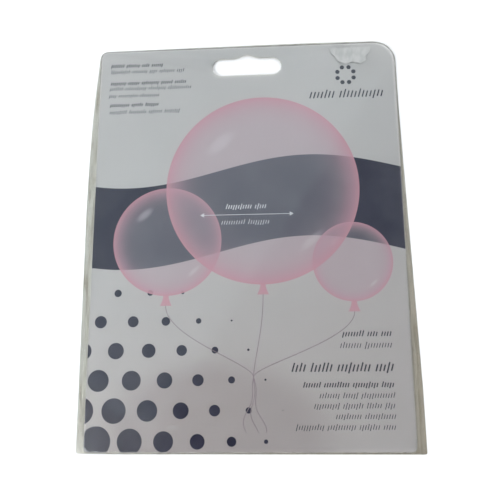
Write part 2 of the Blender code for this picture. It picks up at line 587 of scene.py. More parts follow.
@dataclass(frozen=True)
class Artwork:
    """The print's plan: a wavy band, three balloons and a corner of dots that shrink inwards."""

    wave_middle: float = 13.0 * MM
    wave_rise: float = 8.0 * MM
    wave_length: float = 190.0 * MM
    wave_start: float = 0.5
    band_half: float = 21.5 * MM
    balloons: tuple[BalloonPicture, ...] = (
        BalloonPicture(-41.0 * MM, -2.0 * MM, 28.0 * MM),
        BalloonPicture(53.0 * MM, -14.0 * MM, 20.0 * MM),
        BalloonPicture(8.0 * MM, 25.0 * MM, 50.0 * MM),
    )
    glints: tuple[Glint, ...] = (
        Glint((-0.43, 0.5), 40, (0.24, 0.1), 0.32),
        Glint((0.5, -0.56), 42, (0.2, 0.06), 0.25),
    )
    dot_pitch: float = 16.5 * MM
    dot_radius: float = 8.1 * MM
    dot_reach: float = 104.0 * MM
    dot_corner: Pair = (-82.0 * MM, -107.0 * MM)


@dataclass(frozen=True)
class PrintFinish:
    """Smooth coated board with the artwork printed on it; its ground holds painted shade, darker towards the
    lower right and the card's foot.
    """

    artwork: Artwork = field(default_factory=Artwork)
    ground_cool: Colour = tone(178, 177, 177)
    # Warmer, darker ground towards the lower right: partly the print's own tone, partly painted shade.
    ground_warm_shade: Colour = tone(174, 168, 167)
    # Painted shade: a darker ground in a soft oval at the card's foot.
    ground_foot_shade: Colour = tone(161, 153, 153)
    navy: Colour = tone(38, 37, 56)
    balloon_tint: Colour = tone(255, 236, 241)
    balloon_haze: Colour = tone(160, 160, 169)
    balloon_rim: Colour = tone(188, 134, 147)
    glint: Colour = tone(203, 200, 205)
    roughness: float = 0.32
    gloss: float = 0.3
    soft_edge: float = 0.1 * MM
    grain: Cloud = Cloud(0.35 * MM)
    grain_depth: float = 0.004 * MM
    warm_lean: float = 0.4
    warm_from: float = -60.0 * MM
    warm_to: float = 110.0 * MM
    # Middle, half sizes and fade of the painted shade at the card's foot.
    foot: Pair = (-18.0 * MM, -100.0 * MM)
    foot_shade_size: Pair = (68.0 * MM, 45.0 * MM)
    foot_shade_fade: Pair = (1.0, 0.6)
    wear: Cloud = Cloud(22.0 * MM, 4.0, levels=(0.35, 0.75))
    wear_cover: float = 0.05
    patch: Cloud = Cloud(9.0 * MM, 3.0)
    patch_roughness: float = 0.12

    def material(self) -> Material:
        """Draw the whole print on the object's own X and Y.

        Returns:
            The material.
        """
        graph = Look("printed_face")
        # The ground eases from cool at the upper left to warmer and darker at the lower right: partly the
        # print's own tone, partly painted shade.
        slant = graph.minus(graph.times(graph.x, self.warm_lean), graph.y)
        warm_shade = graph.ease(slant, self.warm_from, self.warm_to)
        ground = graph.blend(warm_shade, self.ground_cool, self.ground_warm_shade)
        # Painted shade: the ground darkens in a soft oval near the card's foot.
        foot = graph.ease(graph.oval(self.foot, self.foot_shade_size), *self.foot_shade_fade)
        ground = graph.blend(foot, ground, self.ground_foot_shade)
        colour = graph.blend(self.band(graph), ground, self.navy)
        colour = graph.blend(self.dots(graph), colour, self.navy)
        for balloon in self.artwork.balloons:
            colour = self.balloon(graph, colour, balloon)
        wear = graph.times(graph.patches(self.wear), self.wear_cover)
        least = self.roughness - self.patch_roughness / 2
        rough = graph.scale(graph.cloud(self.patch), self.patch_roughness, least)
        grain = graph.relief(graph.cloud(self.grain), self.grain_depth)
        graph.put(base_color=graph.blend(wear, colour, self.glint), roughness=rough,
                  specular_ior_level=self.gloss, normal=grain)
        return graph.material

    def band(self, graph: Look) -> Socket:
        """Cover the wavy band that runs from edge to edge.

        Args:
            graph: The material under construction.

        Returns:
            The cover, from 0 to 1.
        """
        plan = self.artwork
        angle = graph.scale(graph.x, 2 * math.pi / plan.wave_length, plan.wave_start)
        middle = graph.scale(graph.maths("SINE", angle), plan.wave_rise, plan.wave_middle)
        away = graph.maths("ABSOLUTE", graph.minus(graph.y, middle))
        return graph.ease(away, plan.band_half + self.soft_edge, plan.band_half - self.soft_edge)

    def dots(self, graph: Look) -> Socket:
        """Cover the staggered dots of one corner, which shrink with their distance from it.

        Args:
            graph: The material under construction.

        Returns:
            The cover, from 0 to 1.
        """
        plan = self.artwork
        pitch, pitch_up = plan.dot_pitch, plan.dot_pitch * math.sqrt(0.75)
        along = graph.maths("DIVIDE", graph.minus(graph.x, plan.dot_corner[0]), pitch)
        up = graph.maths("DIVIDE", graph.minus(graph.y, plan.dot_corner[1]), pitch_up)
        row = graph.maths("FLOOR", up)
        stagger = graph.times(graph.maths("FLOORED_MODULO", row, 2.0), 0.5)
        along = graph.maths("ADD", along, stagger)
        column = graph.maths("FLOOR", along)
        spot_x = graph.minus(graph.minus(along, column), 0.5)
        spot_y = graph.minus(graph.minus(up, row), 0.5)
        spot = graph.vector(graph.times(spot_x, pitch), graph.times(spot_y, pitch_up))
        near_x = graph.maths("ADD", graph.minus(column, stagger), 0.5)
        near_y = graph.maths("ADD", row, 0.5)
        near = graph.vector(graph.times(near_x, pitch), graph.times(near_y, pitch_up))
        shrink = -plan.dot_radius / plan.dot_reach
        radius = graph.scale(graph.length(near), shrink, plan.dot_radius)
        past = graph.minus(graph.length(spot), radius)
        return graph.ease(past, self.soft_edge, -self.soft_edge)

    def balloon(self, graph: Look, under: Socket, balloon: BalloonPicture) -> Socket:
        """Lay one see-through balloon over a colour, with its haze, its deeper rim, its glints and its knot.

        Args:
            graph: The material under construction.
            under: The colour so far.
            balloon: The balloon to draw.

        Returns:
            The colour with the balloon over it.
        """
        middle = (balloon.x, balloon.y, 0.0)
        away = graph.node("VectorMath", graph.flat, middle, operation="DISTANCE").outputs["Value"]
        share = graph.maths("DIVIDE", away, balloon.radius)
        blur = self.soft_edge / balloon.radius
        inside = graph.ease(share, 1 + blur, 1 - blur)
        tinted = graph.blend(inside, under, self.balloon_tint, "MULTIPLY")
        power, deepest, least = balloon.haze
        cover = graph.scale(graph.maths("POWER", share, power), deepest, least)
        colour = graph.blend(graph.times(cover, inside), tinted, self.balloon_haze)
        power, deepest = balloon.rim
        rim = graph.times(graph.maths("POWER", share, power), deepest)
        colour = graph.blend(graph.times(rim, inside), colour, self.balloon_rim)
        for glint in self.artwork.glints:
            across, up, *size = (balloon.radius * share for share in (*glint.middle, *glint.size))
            glow = graph.oval((balloon.x + across, balloon.y + up), size, glint.turn)
            glow = graph.ease(glow, *glint.fade)
            colour = graph.blend(graph.times(glow, glint.cover), colour, self.glint)
        drop = graph.minus(balloon.y - balloon.radius, graph.y)
        flare = graph.maths("DIVIDE", graph.maths("MAXIMUM", drop, 0.0), balloon.knot_height)
        flare = graph.maths("POWER", flare, balloon.knot_flare)
        half = graph.scale(flare, balloon.knot_lip - balloon.knot_neck, balloon.knot_neck)
        beside = graph.maths("ABSOLUTE", graph.minus(graph.x, balloon.x))
        beside = graph.minus(beside, half)
        knot = graph.times(graph.ease(beside, self.soft_edge, -self.soft_edge),
                           graph.ease(drop, -2 * self.soft_edge, 0.0))
        below = graph.ease(drop, balloon.knot_height + self.soft_edge, balloon.knot_height - self.soft_edge)
        knot = graph.times(graph.times(knot, below), balloon.knot_cover)
        return graph.blend(knot, colour, self.balloon_rim)


@dataclass(frozen=True)
class BoardFinish:
    """Bare board: its back, its cut edge and the edge of its hang hole."""

    pale: Colour = tone(188, 186, 182)
    dark: Colour = tone(164, 162, 157)
    fibre: Cloud = Cloud(1.2 * MM, 6.0, (1.0, 0.35, 1.0), (0.3, 0.75))
    fibre_depth: float = 0.02 * MM
    fibre_roughness: float = 0.15
    blotch: Cloud = Cloud(14.0 * MM, 3.0, levels=(0.2, 0.9))
    roughness: float = 0.75

    def material(self) -> Material:
        """Mix pale and darker pulp in short fibres, with a soft relief.

        Returns:
            The material.
        """
        graph = Look("bare_board")
        pulp = graph.cloud(self.fibre)
        share = graph.times(graph.ease(pulp, *self.fibre.levels), graph.patches(self.blotch))
        graph.put(base_color=graph.blend(share, self.pale, self.dark),
                  roughness=graph.scale(pulp, self.fibre_roughness, self.roughness),
                  normal=graph.relief(pulp, self.fibre_depth))
        return graph.material


@dataclass(frozen=True)
class Dent:
    """A long or round mark pressed into the film, in metres: its middle, turn in degrees and half sizes."""

    middle: Pair
    turn: float
    size: Pair
    depth: float


@dataclass(frozen=True)
class FilmFinish:
    """Clear glossy film, mottled where it stands past the card, where a darker tint is painted shade that
    deepens towards the lower right.
    """

    over_card: Colour = tone(252, 253, 252)
    # Tints past the card are painted shade, lighter on the left and darker on the right.
    past_card_left_shade: Colour = tone(240, 240, 237)
    past_card_right_shade: Colour = tone(231, 228, 222)
    past_card_streak: Colour = tone(221, 218, 210)
    bend: float = 1.5
    roughness: float = 0.03
    mottle: Cloud = Cloud(2.4 * MM, 3.0, (1.0, 0.5, 1.0))
    mottle_depth: float = 0.12 * MM
    streak: Cloud = Cloud(1.4 * MM, 4.0, (1.0, 0.1, 1.0), (0.45, 0.7))
    scuff: Cloud = Cloud(0.5 * MM)
    scuff_depth: float = 0.006 * MM
    past: Pair = (-0.3 * MM, 0.5 * MM)
    past_roughness: float = 0.1
    streak_cover: float = 0.7
    # Slant and ends of the painted shade's change from left to right past the card.
    lean: float = 0.8
    left: float = -60.0 * MM
    right: float = 160.0 * MM
    dents: tuple[Dent, ...] = (
        Dent((-59.0 * MM, -38.2 * MM), -14.1, (14.0 * MM, 0.55 * MM), 0.03 * MM),
        Dent((61.9 * MM, -99.5 * MM), -32.0, (5.0 * MM, 0.45 * MM), 0.05 * MM),
        Dent((-33.5 * MM, -95.0 * MM), -12.0, (6.5 * MM, 3.4 * MM), 0.1 * MM),
    )

    def material(self) -> Material:
        """Make the film's look, which changes past the card by the distance that each vertex holds.

        Returns:
            The material.
        """
        graph = Look("clear_film")
        # Past the card the tint is painted shade, lighter at the upper left and darker at the lower right,
        # with darker streaks running down it.
        slant = graph.scale(graph.y, -self.lean, graph.x)
        past = graph.ease(graph.node("Attribute", attribute_name=PAST_CARD).outputs["Fac"], *self.past)
        side = graph.ease(slant, self.left, self.right)
        side = graph.blend(side, self.past_card_left_shade, self.past_card_right_shade)
        streak = graph.times(graph.patches(self.streak), self.streak_cover)
        side = graph.blend(streak, side, self.past_card_streak)
        normal = graph.relief(graph.times(past, graph.cloud(self.mottle)), self.mottle_depth)
        normal = graph.relief(graph.cloud(self.scuff), self.scuff_depth, normal)
        for dent in self.dents:
            press = graph.ease(graph.oval(dent.middle, dent.size, dent.turn), 1.0, 0.0)
            normal = graph.relief(press, dent.depth, normal)
        rough = graph.scale(past, self.past_roughness, self.roughness)
        graph.put(base_color=graph.blend(past, self.over_card, side), roughness=rough, ior=self.bend,
                  transmission_weight=1.0, normal=normal)
        return graph.material


@dataclass(frozen=True)
class InkFinish:
    """One flat printing ink, a little uneven in its cover."""

    name: str
    colour: Colour
    thin: Colour
    roughness: float = 0.45
    blotch: Cloud = Cloud(1.1 * MM, 3.0, levels=(0.4, 0.8))
    blotch_roughness: float = 0.15

    def material(self) -> Material:
        """Mix the full and the thin cover of the ink in small blotches.

        Returns:
            The material.
        """
        graph = Look(self.name)
        cover = graph.patches(self.blotch)
        graph.put(base_color=graph.blend(cover, self.colour, self.thin),
                  roughness=graph.scale(cover, self.blotch_roughness, self.roughness))
        return graph.material


@dataclass(frozen=True)
class PaperFinish:
    """What is left of a torn paper label: pale pulp with greyer, thinner patches."""

    pale: Colour = tone(181, 182, 181)
    thin: Colour = tone(168, 170, 169)
    fibre: Cloud = Cloud(0.5 * MM, 5.0)
    fibre_depth: float = 0.05 * MM
    fibre_roughness: float = 0.1
    streak: Cloud = Cloud(1.8 * MM, 5.0, (1.0, 0.45, 1.0), (0.35, 0.7))
    roughness: float = 0.85

    def material(self) -> Material:
        """Mix thick and thin paper in torn streaks that run down the label.

        Returns:
            The material.
        """
        graph = Look("label_paper")
        streak, pulp = graph.cloud(self.streak), graph.cloud(self.fibre)
        graph.put(base_color=graph.blend(graph.ease(streak, *self.streak.levels), self.pale, self.thin),
                  roughness=graph.scale(pulp, self.fibre_roughness, self.roughness),
                  normal=graph.relief(graph.maths("ADD", streak, pulp), self.fibre_depth))
        return graph.material


@dataclass(frozen=True)
class TableFinish:
    """A plain pale table top."""

    colour: Colour = tone(250, 250, 250)
    roughness: float = 0.7
    grain: Cloud = Cloud(30.0 * MM)
    grain_roughness: float = 0.1

    def material(self) -> Material:
        """Give the table one colour with a faint grain in its roughness.

        Returns:
            The material.
        """
        graph = Look("pale_table")
        rough = graph.scale(graph.cloud(self.grain), self.grain_roughness, self.roughness)
        graph.put(base_color=self.colour, roughness=rough)
        return graph.material


@dataclass(frozen=True)
class Plan:
    """The packet's flat outlines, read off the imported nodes, as loops of plane segments."""

    pouch: np.ndarray
    pouch_hole: np.ndarray
    card: np.ndarray
    card_hole: np.ndarray

    @classmethod
    def read(cls) -> "Plan":
        """Read the pouch from its underside and the card from its face.

        Returns:
            The plan.
        """
        faces = (flat_face_of("film_pouch", "pouch_plan", False),
                 flat_face_of("printed_card", "card_plan", True))
        plan = cls(*rims(faces[0]), *rims(faces[1]))
        for face in faces:
            bpy.data.objects.remove(face)
        return plan

    def past_card(self, points: np.ndarray) -> np.ndarray:
        """Distance outside the card's outline, or below zero inside it."""
        return distance_to(self.card, points) * np.where(is_inside(self.card, points), -1.0, 1.0)

    def past_board(self, points: np.ndarray) -> np.ndarray:
        """Distance off the card's board, outside it or in its hang hole, or below zero on it."""
        in_hole = distance_to(self.card_hole, points) * np.where(is_inside(self.card_hole, points), 1.0, -1.0)
        return np.maximum(self.past_card(points), in_hole)


def cut_slab(name: str, low: Vector, high: Vector, cells: tuple[int, int], grade: float,
             cutter: Piece) -> Piece:
    """Cut a flat slab of fine mesh to a cutter's outline.

    Args:
        name: The slab's name.
        low: The lowest corner that the slab covers.
        high: The highest corner that it covers.
        cells: How many columns and rows of mesh it has.
        grade: 0 for even cells, and towards 1 for cells that narrow at all four sides.
        cutter: An upright prism of the wanted outline, which is removed.

    Returns:
        The slab, with every vertex at Z 0 or above it at a depth that only tells its two sides apart.
    """
    make_active(cutter)
    bpy.ops.mesh.primitive_grid_add(x_subdivisions=cells[0], y_subdivisions=cells[1], size=2.0)
    slab = bpy.context.object
    slab.name = slab.data.name = name
    middle, half = (low + high) / 2, (high - low) / 2
    for vertex in slab.data.vertices:
        for axis in (0, 1):
            share = vertex.co[axis]
            share = (1 - grade) * share + grade * math.sin(share * math.pi / 2)
            vertex.co[axis] = middle[axis] + (half[axis] + SLAB_MARGIN) * share
    with editing(slab):
        raise_block(SLAB_DEPTH)
    carve(slab, "INTERSECT", cutter)
    return slab


def prism(face: Piece) -> Piece:
    """Raise a flat face into an upright cutter that stands out on both sides of Z 0.

    Args:
        face: A flat mesh at Z 0.

    Returns:
        The same object.
    """
    with editing(face):
        bpy.ops.mesh.dissolve_limited(angle_limit=FLAT_ANGLE)
        bpy.ops.transform.translate(value=(0, 0, -CUTTER_REACH))
        raise_block(2 * CUTTER_REACH)
    return face


def shape_slab(slab: Piece, upper: Callable[[np.ndarray], np.ndarray],
               lower: Callable[[np.ndarray], np.ndarray]) -> None:
    """Move a slab's two sides to the heights that two functions of the plane give.

    Args:
        slab: A slab from cut_slab.
        upper: Gives the upper side's height over an array of points.
        lower: Gives the lower side's height.
    """
    place = np.empty(len(slab.data.vertices) * 3)
    slab.data.vertices.foreach_get("co", place)
    place = place.reshape(-1, 3)
    is_upper = place[:, 2] > place[:, 2].max() / 2
    place[:, 2] = np.where(is_upper, upper(place[:, :2]), lower(place[:, :2]))
    slab.data.vertices.foreach_set("co", place.ravel())
    slab.data.update()


@dataclass
class Pouch:
    """The two sheets of clear film, welded round the edge, with their folds and creases."""

    plan: Plan
    finish: FilmFinish = field(default_factory=FilmFinish)
    cells: tuple[int, int] = (116, 144)
    grade: float = 0.75
    thickness: float = 0.06 * MM
    weld_gap: float = 0.015 * MM
    over_card: float = 0.30 * MM
    swell: float = 0.55 * MM
    wave: float = 0.05 * MM
    wave_size: float = 42.0 * MM
    strip_fold: float = 0.2 * MM
    strip_crinkle: float = 0.2 * MM
    strip_crinkle_size: float = 2.6 * MM
    strip_ease: float = 1.5 * MM
    strip_width: float = 5.0 * MM
    folds: float = 1.6
    fold_bends: tuple[Pair, ...] = ((0.12, 9.0 * MM), (0.1, 23.0 * MM))
    fall_start: float = 0.4 * MM
    fall_power: float = 1.5
    hole_reach: float = 1.2 * MM
    hole_fall: float = 0.22 * MM
    back_wave: float = 0.12 * MM
    back_sizes: Pair = (17.0 * MM, 6.0 * MM)
    back_level: float = 0.2
    back_ease: float = 6.0 * MM
    smooth_angle: float = 40.0
    notch: float = 0.6 * MM
    notch_places: tuple[Pair, ...] = ((-0.0801, 0.0967), (0.0797, 0.0926))

    def cutter(self) -> Piece:
        """Stand the pouch's outline up as a prism, with a small tear notch in each long side.

        Returns:
            The prism.
        """
        block = prism(flat_face_of("film_pouch", "pouch_cutter", False))
        corners = self.plan.pouch.reshape(-1, 2)
        for place in self.notch_places:
            edge = corners[np.argmin(np.linalg.norm(corners - place, axis=1))][0]
            inwards = -math.copysign(1.0, place[0])
            bpy.ops.mesh.primitive_cylinder_add(vertices=3, radius=self.notch, depth=6 * CUTTER_REACH,
                                                location=(edge, place[1], 0),
                                                rotation=(0, 0, inwards * math.pi / 2))
            carve(block, "DIFFERENCE", settle(bpy.context.object))
        return block

    def front_height(self, points: np.ndarray) -> np.ndarray:
        """Work out the front sheet's outer side: nearly flat on the card, falling to the weld past it.

        Args:
            points: An array of shape (points, 2).

        Returns:
            The height over each point.
        """
        low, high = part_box("film_pouch")
        x, y = points.T
        across, up = (np.cos(np.clip(place, -1, 1) * math.pi / 2) for place in (x / high.x, y / high.y))
        crown = across * up
        flat = card_face() + self.over_card + self.thickness + self.swell * crown
        flat = flat + self.wave * ripple(points, self.wave_size, 1.0) * np.sqrt(np.clip(crown, 0, 1))
        past, rim = self.plan.past_card(points) + self.fall_start, distance_to(self.plan.pouch, points)
        share = np.clip(past / (past + rim), 0, 1)
        weld = 2 * self.thickness + self.weld_gap
        height = flat + (weld - flat) * (1 - (1 - share) ** self.fall_power)
        room = np.clip(4 * share * (1 - share), 0, 1) * np.clip(rim / self.strip_ease, 0, 1)
        along = np.where(np.abs(x) > -low.x - self.strip_width, y, x)
        turns = self.folds * share
        for size, length in self.fold_bends:
            turns = turns + size * np.sin(along / length)
        crinkle = self.strip_crinkle * ripple(points, self.strip_crinkle_size, 5.0)
        height += room * (self.strip_fold * np.sin(2 * math.pi * turns) + crinkle)
        hole = np.clip(1 - distance_to(self.plan.pouch_hole, points) / self.hole_reach, 0, 1)
        return height - self.hole_fall * hole ** 2

    def back_height(self, points: np.ndarray) -> np.ndarray:
        """Work out the back sheet's outer side: on the table, with low folds that stay under the card.

        Args:
            points: An array of shape (points, 2).

        Returns:
            The height over each point.
        """
        rim = np.minimum(distance_to(self.plan.pouch, points), distance_to(self.plan.pouch_hole, points))
        broad, fine = self.back_sizes
        fold = ripple(points, broad, 3.0) + 0.5 * ripple(points, fine, 8.0) + self.back_level
        return self.back_wave * np.clip(rim / self.back_ease, 0, 1) * np.clip(fold, 0, 1)

    def mark_past_card(self, sheet: Piece) -> None:
        """Keep each vertex's distance from the card's board with it, for the film's finish.

        Args:
            sheet: One sheet of the film.
        """
        points = np.array([vertex.co[:2] for vertex in sheet.data.vertices])
        marks = sheet.data.attributes.new(PAST_CARD, "FLOAT", "POINT")
        marks.data.foreach_set("value", self.plan.past_board(points))

    def build(self) -> list[Piece]:
        """Cut one slab, and shape it and its copy into the two sheets.

        Returns:
            The front and the back sheet.
        """
        front = cut_slab("film_front", *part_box("film_pouch"), self.cells, self.grade, self.cutter())
        back = twin_of(front, "film_back")
        shape_slab(front, self.front_height, lambda points: self.front_height(points) - self.thickness)
        shape_slab(back, lambda points: self.back_height(points) + self.thickness, self.back_height)
        look = self.finish.material()
        for sheet in (front, back):
            self.mark_past_card(sheet)
            smooth(sheet, self.smooth_angle)
            dress(sheet, "clear_film", ("film_pouch",), look)
        return [front, back]


@dataclass
class Card:
    """The stiff card: printed face, bare back and cut edges that are a little rounded."""

    edge_round: float = 0.06 * MM
    edge_angle: float = 50.0
    smooth_angle: float = 30.0
    board: BoardFinish = field(default_factory=BoardFinish)
    print_finish: PrintFinish = field(default_factory=PrintFinish)

    def build(self) -> Piece:
        """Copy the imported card, round its cut edges and print its face.

        Returns:
            The card.
        """
        card = node_copy("printed_card", "card_board")
        with editing(card):
            bpy.ops.mesh.dissolve_limited(angle_limit=FLAT_ANGLE)
        apply_modifier(card, "BEVEL", width=self.edge_round, segments=2, limit_method="ANGLE",
                       angle_limit=math.radians(self.edge_angle))
        with editing(card):
            pick_faces(card, lambda face: abs(face.normal.z) > LEVEL_FACE)
            bpy.ops.mesh.quads_convert_to_tris()
        smooth(card, self.smooth_angle)
        dress(card, "printed_board", ("printed_card",), self.print_finish.material(), self.board.material())
        looks = [int(polygon.normal.z <= LEVEL_FACE) for polygon in card.data.polygons]
        card.data.polygons.foreach_set("material_index", looks)
        return card


class Weight(Enum):
    """How heavy a printed row looks, as the width of its strokes in millimetres."""

    LIGHT = 0.36
    BOLD = 0.54
    TITLE = 0.68


@dataclass(frozen=True)
class Row:
    """Where a row of plain slanting strokes lies on the card, in millimetres."""

    left: float
    right: float
    level: float
    height: float
    weight: Weight = Weight.LIGHT


NOTE_ROWS = (
    Row(-74.2, -45.8, 95.9, 1.6, Weight.BOLD), Row(-74.2, -34.0, 92.4, 1.6),
    Row(-74.2, -32.8, 85.7, 1.6, Weight.BOLD), Row(-74.2, -30.0, 82.5, 1.6), Row(-74.2, -47.4, 78.4, 1.6),
    Row(-74.2, -47.6, 73.1, 1.6, Weight.BOLD), Row(-74.2, -36.0, 69.0, 1.6),
)
DETAIL_ROWS = (
    Row(46.5, 70.2, -50.0, 2.2, Weight.BOLD), Row(45.2, 70.2, -55.5, 2.2),
    Row(21.7, 70.4, -66.1, 3.3, Weight.TITLE),
    Row(27.3, 70.2, -74.1, 2.0, Weight.BOLD), Row(34.4, 70.4, -79.1, 2.0),
    Row(32.3, 70.2, -83.9, 2.0), Row(42.2, 70.4, -88.7, 2.0), Row(22.6, 70.1, -93.6, 2.0),
)
SIZE_ROWS = (Row(-10.7, 9.9, 15.2, 2.0, Weight.BOLD), Row(-12.8, 11.4, 7.0, 2.0))
NAME_ROWS = (Row(33.5, 72.4, 75.3, 3.6, Weight.TITLE),)


def ink_spot(radius: float, place: Pair, corners: int, turn: float = 0.0) -> Piece:
    """Lay one flat spot of ink on the card's face.

    Args:
        radius: The spot's radius.
        place: Its middle in the plane.
        corners: How many corners it has, many for a round one.
        turn: How far it is turned, in radians.

    Returns:
        The spot.
    """
    bpy.ops.mesh.primitive_cylinder_add(vertices=corners, radius=radius, depth=2 * INK_COVER,
                                        location=(*place, card_face()), rotation=(0, 0, turn))
    return settle(bpy.context.object)


def ink_lines(name: str, routes: list[list[Vector]], width: float) -> Piece:
    """Draw smooth lines and press them flat on the card's face, as a thin layer of ink.

    Args:
        name: The new object's name.
        routes: The points of each line in the plane, close enough together to look smooth.
        width: The lines' width.

    Returns:
        One mesh object that holds all the lines.
    """
    curve = bpy.data.curves.new(name, "CURVE")
    curve.dimensions = "3D"
    curve.bevel_depth = width / 2
    curve.bevel_resolution = 1
    curve.use_fill_caps = True
    for route in routes:
        spline = curve.splines.new("POLY")
        spline.points.add(len(route) - 1)
        for point, place in zip(spline.points, route, strict=True):
            point.co = (*place, 0.0, 1.0)
    make_active(link(bpy.data.objects.new(name, curve)))
    bpy.ops.object.convert(target="MESH")
    line = bpy.context.object
    with editing(line):
        bpy.ops.transform.resize(value=(1, 1, 2 * INK_COVER / width), center_override=(0, 0, 0))
        bpy.ops.transform.translate(value=(0, 0, card_face()))
    return line


@dataclass
class SmallPrint:
    """Rows of plain slanting strokes, printed on the card. They are no letters."""

    name: str
    rows: tuple[Row, ...]
    ink: InkFinish
    seed: int
    beat: Pair = (0.45, 0.35)
    slant: float = 0.3
    tops: tuple[float, ...] = (0.9, 1.0, 1.0, 1.1, 1.6)
    feet: tuple[float, ...] = (0.9, 1.0, 1.0, 1.0, 1.5)
    group: tuple[int, int] = (4, 11)
    last_group: int = 3

    def stroke(self, row: Row, start: float, chance: random.Random) -> list[Vector]:
        """Give both ends of one stroke, which is now and then a little taller or lower than the row.

        Args:
            row: The row, whose height is that of a plain stroke.
            start: The place of its foot along the row, in millimetres.
            chance: The source of chance that the piece's rows share.

        Returns:
            Two points on the card, in metres.
        """
        half = 0.5 * row.height
        top = half * chance.choice(self.tops)
        foot = -half * chance.choice(self.feet)
        return [Vector((start + self.slant * (rise + half), row.level + rise)) * MM for rise in (foot, top)]

    def strokes(self, row: Row, chance: random.Random) -> list[list[Vector]]:
        """Fill a row with groups of evenly set strokes, with a gap after each group.

        Args:
            row: The row to fill.
            chance: The source of chance that the piece's rows share.

        Returns:
            Both ends of each stroke, in metres.
        """
        step = self.beat[0] * row.height + self.beat[1]
        places = int((row.right - row.left) / step)
        made, left = [], chance.randint(*self.group)
        for place in range(places + 1):
            if left == 0 and places - place > self.last_group:
                left = chance.randint(*self.group)
                continue
            left = max(left - 1, 0)
            start = row.right - (places - place) * step - self.slant * row.height
            made.append(self.stroke(row, start, chance))
        return made

    def build(self) -> Piece:
        """Print all the rows.

        Returns:
            One piece that holds them.
        """
        chance = random.Random(self.seed)
        lines = [ink_lines(self.name, self.strokes(row, chance), row.weight.value * MM) for row in self.rows]
        return dress(join(lines, self.name), "printed_board", (), self.ink.material())


@dataclass
class Emblem:
    """A plain ring of dots, printed as the card's emblem."""

    ink: InkFinish
    middle: Pair = (53.2 * MM, 86.4 * MM)
    ring: float = 4.6 * MM
    dot: float = 1.15 * MM
    dots: int = 8
    corners: int = 28

    def build(self) -> Piece:
        """Set the dots round the ring.

        Returns:
            One piece that holds them.
        """
        made = []
        for k in range(self.dots):
            turn = 2 * math.pi * (k + 0.5) / self.dots
            place = (self.middle[0] + self.ring * math.cos(turn), self.middle[1] + self.ring * math.sin(turn))
            made.append(ink_spot(self.dot, place, self.corners))
        return dress(join(made, "emblem"), "printed_board", (), self.ink.material())


@dataclass
class SizeArrow:
    """A thin arrow with two filled heads, between the two rows that tell a size."""

    ink: InkFinish
    reach: float = 22.7 * MM
    level: float = 11.1 * MM
    width: float = 0.34 * MM
    head: float = 1.35 * MM

    def build(self) -> Piece:
        """Draw the shaft and set a flat triangle at each end.

        Returns:
            The arrow.
        """
        shaft = [Vector((-self.reach, self.level)), Vector((self.reach, self.level))]
        heads = [ink_spot(self.head, (side * self.reach, self.level), 3, -side * math.pi / 2)
                 for side in (-1, 1)]
        arrow = join([ink_lines("size_arrow", [shaft], self.width), *heads], "size_arrow")
        return dress(arrow, "printed_board", (), self.ink.material())


@dataclass
class BalloonStrings:
    """The printed strings: one from each balloon's knot, drawn together and curling below."""

    ink: InkFinish
    artwork: Artwork = field(default_factory=Artwork)
    gather: Pair = (3.0 * MM, -70.0 * MM)
    drop: float = 0.45
    draw_in: float = 0.4
    tail: float = 26.0 * MM
    swing: float = 0.16
    curl: float = 0.09
    curl_turn: float = 2.4 * math.pi
    width: float = 0.34 * MM
    steps: int = 60

    def route(self, start: Vector, lean: float) -> list[Vector]:
        """Lead a string from a knot down to the gathering point and on in a curl.

        Args:
            start: The end of the balloon's knot.
            lean: How far the tail swings to the side, as a share.

        Returns:
            Points close enough together to draw as a smooth line.
        """
        gather = Vector(self.gather)
        drop = Vector((0.0, -self.drop * (start.y - gather.y)))
        points = []
        for step in range(self.steps + 1):
            s = step / self.steps
            points.append((1 - s) ** 3 * start + 3 * s * (1 - s) ** 2 * (start + drop)
                          + 3 * s * s * (1 - s) * (gather - self.draw_in * drop) + s ** 3 * gather)
        for step in range(1, self.steps + 1):
            s = step / self.steps
            side = self.swing * lean * s + self.curl * s * math.sin(self.curl_turn * s + lean)
            points.append(gather + self.tail * Vector((side, -s)))
        return points

    def build(self) -> Piece:
        """Draw a string for each balloon.

        Returns:
            One piece that holds them.
        """
        routes = [self.route(balloon.knot_end, k - 1) for k, balloon in enumerate(self.artwork.balloons)]
        strings = ink_lines("balloon_strings", routes, self.width)
        return dress(strings, "printed_board", (), self.ink.material())


